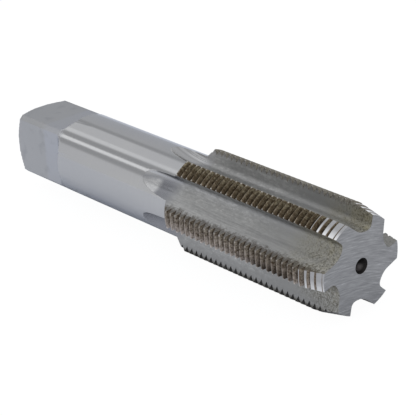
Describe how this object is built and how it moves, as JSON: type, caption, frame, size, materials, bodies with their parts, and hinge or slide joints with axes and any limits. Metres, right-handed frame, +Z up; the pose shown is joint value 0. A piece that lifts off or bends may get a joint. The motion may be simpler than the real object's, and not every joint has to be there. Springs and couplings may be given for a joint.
{
  "type": "thread tap",
  "caption": "Steel hand tap with straight flutes, a right-hand fine thread tapered at the point, a plain shank and a square driving end.",
  "frame": {"origin": "centre of the front face, where the tap's axis meets it", "axes": "+X along the tap's axis, pointing out of the front face, so the body lies towards -X; +Z up as the tap lies on a bench, with one flute facing straight down; +Y to the right seen from the front"},
  "size_m": [0.146, 0.0318, 0.03],
  "materials": {
    "steel": "satin"
  },
  "bodies": {
    "root": {"tap": "steel"}
  },
  "joints": []
}
